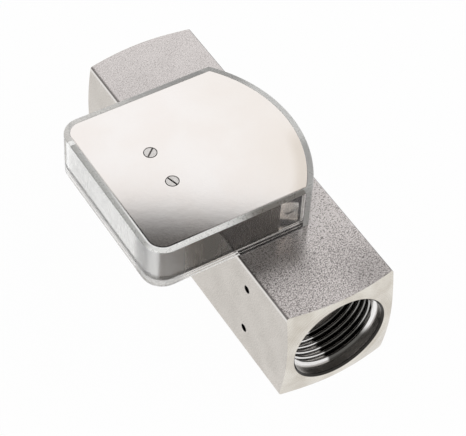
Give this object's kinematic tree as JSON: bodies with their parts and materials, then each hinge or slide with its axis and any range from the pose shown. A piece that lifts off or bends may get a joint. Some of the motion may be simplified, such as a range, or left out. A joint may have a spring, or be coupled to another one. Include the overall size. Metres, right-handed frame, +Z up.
{
  "type": "variable area flow meter",
  "caption": "All-metal in-line flow meter: square steel bar with threaded ports, a spring loaded float and a clear sided case with a magnet driven pointer.",
  "frame": {"origin": "centre of the square bar's underside, midway between its end faces", "axes": "+X across the bar, with the indicator case overhanging towards -X; +Y along the flow, from inlet to outlet; +Z up, from the bar to the case"},
  "size_m": [0.0709, 0.131, 0.057],
  "materials": {
    "bar_steel": "bead-rolled stainless bar with a fine pitted grain",
    "plate_steel": "satin stainless sheet",
    "band_steel": "plain rolled stainless strip",
    "clear_plastic": "clear moulded plastic with polished faces",
    "screw_steel": "turned stainless steel",
    "turned_steel": "turned stainless steel with fine tool marks",
    "spring_steel": "bright drawn stainless wire",
    "seal_rubber": "moulded rubber",
    "bush_plastic": "white low-friction plastic",
    "magnet": "sintered magnet",
    "brass": "turned brass",
    "pointer_black": "black painted sheet"
  },
  "bodies": {
    "meter": {"meter_body": "bar_steel", "inlet_retaining_ring": "spring_steel", "outlet_retaining_ring": "spring_steel", "inlet_spider": "turned_steel", "outlet_spider": "turned_steel", "guide_rod": "turned_steel", "inlet_rod_nut": "turned_steel", "outlet_rod_nut": "turned_steel", "metering_sleeve": "turned_steel", "sleeve_seal": "seal_rubber", "return_spring": "spring_steel", "base_plate": "plate_steel", "base_screws": "screw_steel", "cover": "clear_plastic", "frame_band": "band_steel", "face_plate": "plate_steel", "front_pillar": "turned_steel", "rear_pillar": "turned_steel", "front_face_screw": "screw_steel", "rear_face_screw": "screw_steel", "bearing_bridge": "plate_steel", "lower_bearing": "brass", "upper_bearing": "brass", "zero_stop": "turned_steel", "full_scale_stop": "turned_steel"},
    "float": {"float_head": "turned_steel", "float_body": "turned_steel", "float_magnets": "magnet", "magnet_spacer": "turned_steel", "float_cap": "turned_steel", "front_float_bush": "bush_plastic", "rear_float_bush": "bush_plastic"},
    "pointer": {"pointer_shaft": "turned_steel", "pointer_hub": "brass", "pointer_arm": "pointer_black", "follower_magnet": "magnet", "magnet_cup": "brass", "counterweight": "brass", "pointer_flag": "pointer_black"}
  },
  "joints": [
    {"name": "float_slide", "type": "slide", "parent": "meter", "child": "float", "axis": [0, 1, 0], "range_m": [0, 0.0344], "stiffness_N_per_m": 100, "springref_m": -0.012, "deforming": ["return_spring"]},
    {"name": "pointer_swing", "type": "hinge", "parent": "meter", "child": "pointer", "pos_m": [-0.03, -0.0024, 0.048], "axis": [0, 0, 1], "range_deg": [0, 70]}
  ],
  "couplings": [
    {"joint": "pointer_swing", "follows": "float_slide", "rad_per_m": 35.5}
  ]
}
